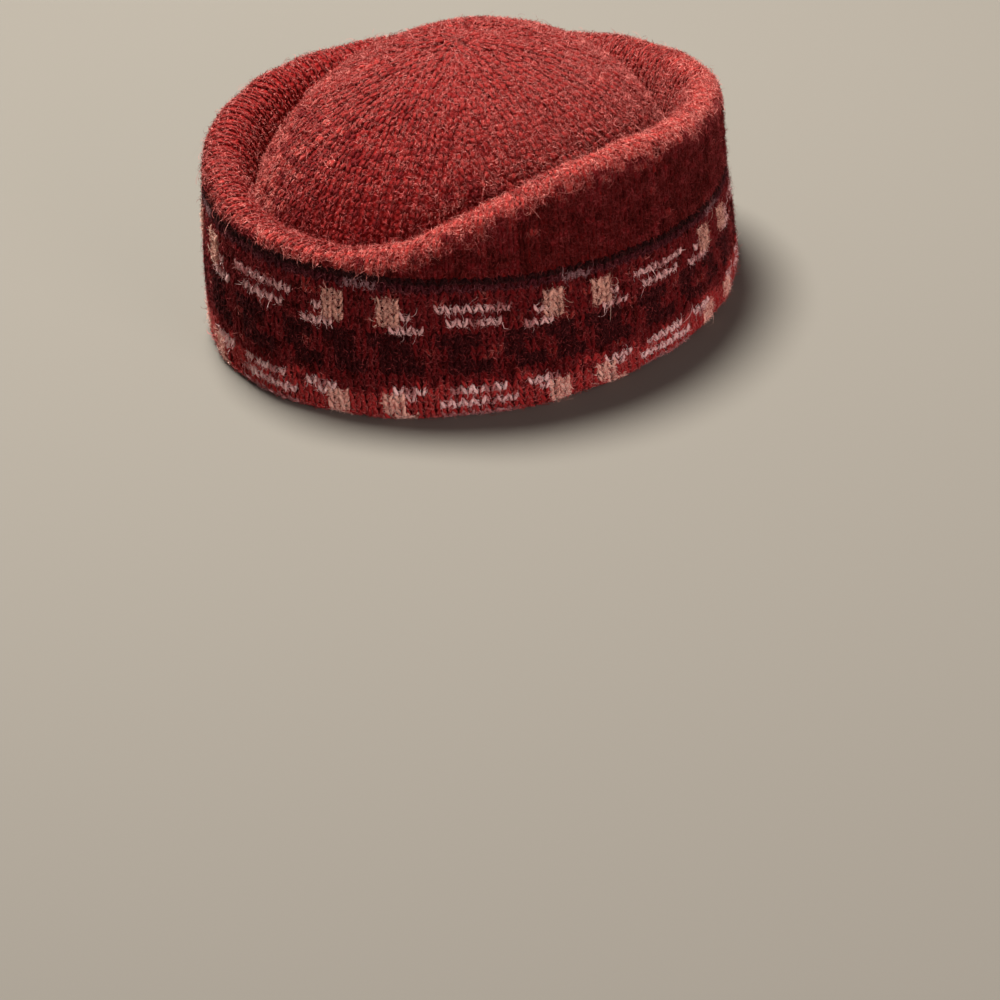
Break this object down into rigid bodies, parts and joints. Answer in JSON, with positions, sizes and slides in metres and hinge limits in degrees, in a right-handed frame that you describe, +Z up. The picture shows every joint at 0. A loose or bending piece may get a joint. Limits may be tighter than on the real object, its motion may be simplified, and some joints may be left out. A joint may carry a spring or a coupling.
{
  "type": "pillbox hat",
  "caption": "Soft knitted wool pillbox hat: domed crown set in a valley, rolled brim that dips over the face, stranded patterned band, turned-in hem.",
  "frame": {"origin": "middle of the hem's box, on the plane that the hem stands on", "axes": "+Z up through the crown, -Y toward the face, +X toward the wearer's left, where the brim stands tall"},
  "size_m": [0.1964, 0.2033, 0.1025],
  "materials": {
    "patterned_wool": "brushed knitted wool, burgundy ground with pale, tan and black stitches",
    "red_wool": "brushed knitted wool, plain brick red"
  },
  "bodies": {
    "root": {"band": "patterned_wool", "brim": "red_wool", "crown": "red_wool"}
  },
  "joints": []
}
